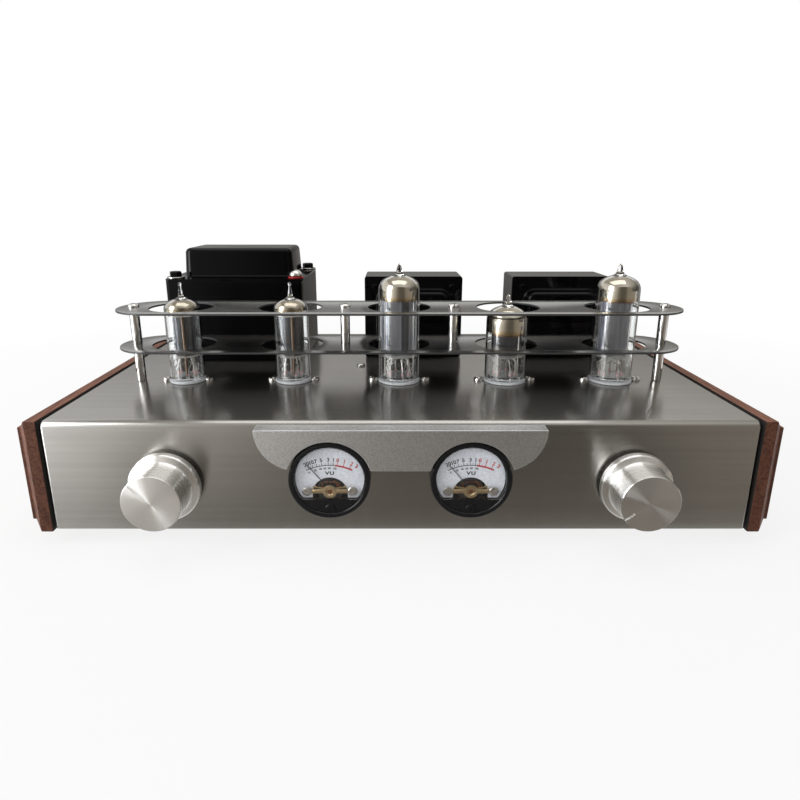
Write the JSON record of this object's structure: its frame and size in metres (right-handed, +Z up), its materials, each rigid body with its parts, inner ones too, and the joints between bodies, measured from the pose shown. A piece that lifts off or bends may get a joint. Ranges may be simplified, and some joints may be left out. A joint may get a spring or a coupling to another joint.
{
  "type": "tube amplifier",
  "caption": "Desktop stereo tube amplifier: folded steel chassis with wooden end panels, tubes in a two-deck guard, transformers behind, level meters and turned knobs in front.",
  "frame": {"origin": "on the surface it stands on, under the middle of its bounding box", "axes": "+Z up, front panel faces -Y, +X to the right of someone facing the front"},
  "size_m": [0.3484, 0.2294, 0.1292],
  "materials": {
    "steel": "stainless sheet, brushed along its length",
    "rail_steel": "plain satin steel sheet",
    "walnut": "oiled walnut",
    "blasted_aluminium": "sand-blasted with bright bevels",
    "turned_aluminium": "bright turned",
    "bright_plating": "bright nickel plating",
    "rubber": "matte black rubber",
    "black_plastic": "gloss black moulding",
    "red_plastic": "gloss red moulding",
    "dial_white": "printed white card",
    "needle_black": "matt black paint",
    "clear_glass": "clear window",
    "tube_glass": "clear blown glass, silvered inside at the crown",
    "ceramic": "white ceramic",
    "electrode_metal": "carbonised grey nickel",
    "lamination": "varnished steel laminations",
    "black_varnish": "gloss black paint",
    "circuit_board": "green board",
    "control_body": "plated can"
  },
  "bodies": {
    "chassis": {"chassis_shell": "steel", "bottom_plate": "steel", "side_panel_left": "walnut", "side_panel_right": "walnut", "badge_plate": "blasted_aluminium", "foot_front_left": "rubber", "foot_front_right": "rubber", "foot_rear_left": "rubber", "foot_rear_right": "rubber", "meter_case_left": "black_plastic", "meter_dial_left": "dial_white", "meter_lens_left": "clear_glass", "meter_case_right": "black_plastic", "meter_dial_right": "dial_white", "meter_lens_right": "clear_glass", "input_selector": "control_body", "volume_control": "control_body", "tube_socket_1": "ceramic", "tube_glass_1": "tube_glass", "tube_electrodes_1": "electrode_metal", "tube_socket_2": "ceramic", "tube_glass_2": "tube_glass", "tube_electrodes_2": "electrode_metal", "tube_socket_3": "ceramic", "tube_glass_3": "tube_glass", "tube_electrodes_3": "electrode_metal", "tube_socket_4": "ceramic", "tube_glass_4": "tube_glass", "tube_electrodes_4": "electrode_metal", "tube_socket_5": "ceramic", "tube_glass_5": "tube_glass", "tube_electrodes_5": "electrode_metal", "guard_plate_lower": "rail_steel", "guard_plate_upper": "rail_steel", "guard_post_outer_left": "bright_plating", "guard_post_outer_right": "bright_plating", "guard_post_inner_left": "bright_plating", "guard_post_inner_right": "bright_plating", "power_transformer_core": "lamination", "power_transformer_bell": "black_varnish", "output_transformer_core_left": "lamination", "output_transformer_cover_left": "black_varnish", "output_transformer_core_right": "lamination", "output_transformer_cover_right": "black_varnish", "mains_inlet": "black_plastic", "input_jacks": "bright_plating", "speaker_terminals": "black_plastic", "main_board": "circuit_board", "filter_capacitor": "black_plastic"},
    "selector": {"selector_knob": "turned_aluminium", "selector_shaft": "bright_plating"},
    "volume": {"volume_knob": "turned_aluminium", "volume_shaft": "bright_plating"},
    "needle_left": {"meter_needle_left": "needle_black"},
    "needle_right": {"meter_needle_right": "needle_black"},
    "rocker": {"power_rocker": "black_plastic"},
    "terminal_1": {"terminal_cap_1": "black_plastic"},
    "terminal_2": {"terminal_cap_2": "red_plastic"},
    "terminal_3": {"terminal_cap_3": "black_plastic"},
    "terminal_4": {"terminal_cap_4": "red_plastic"}
  },
  "joints": [
    {"name": "selector_turn", "type": "hinge", "parent": "chassis", "child": "selector", "pos_m": [-0.1064, -0.0939, 0.0319], "axis": [0, 1, 0], "range_deg": [0, 90]},
    {"name": "volume_turn", "type": "hinge", "parent": "chassis", "child": "volume", "pos_m": [0.1064, -0.0939, 0.0319], "axis": [0, 1, 0], "range_deg": [0, 300]},
    {"name": "needle_swing_left", "type": "hinge", "parent": "chassis", "child": "needle_left", "pos_m": [-0.0319, -0.0939, 0.0304], "axis": [0, 1, 0], "range_deg": [0, 84], "stiffness_Nm_per_rad": 0.00002},
    {"name": "needle_swing_right", "type": "hinge", "parent": "chassis", "child": "needle_right", "pos_m": [0.0319, -0.0939, 0.0304], "axis": [0, 1, 0], "range_deg": [0, 84], "stiffness_Nm_per_rad": 0.00002},
    {"name": "power_switch", "type": "hinge", "parent": "chassis", "child": "rocker", "pos_m": [-0.0835, 0.0921, 0.0346], "axis": [-1, 0, 0], "range_deg": [0, 18]},
    {"name": "terminal_turn_1", "type": "hinge", "parent": "chassis", "child": "terminal_1", "pos_m": [-0.018, 0.0961, 0.0346], "axis": [0, 1, 0], "continuous": true},
    {"name": "terminal_turn_2", "type": "hinge", "parent": "chassis", "child": "terminal_2", "pos_m": [0.006, 0.0961, 0.0346], "axis": [0, 1, 0], "continuous": true},
    {"name": "terminal_turn_3", "type": "hinge", "parent": "chassis", "child": "terminal_3", "pos_m": [0.03, 0.0961, 0.0346], "axis": [0, 1, 0], "continuous": true},
    {"name": "terminal_turn_4", "type": "hinge", "parent": "chassis", "child": "terminal_4", "pos_m": [0.054, 0.0961, 0.0346], "axis": [0, 1, 0], "continuous": true}
  ]
}
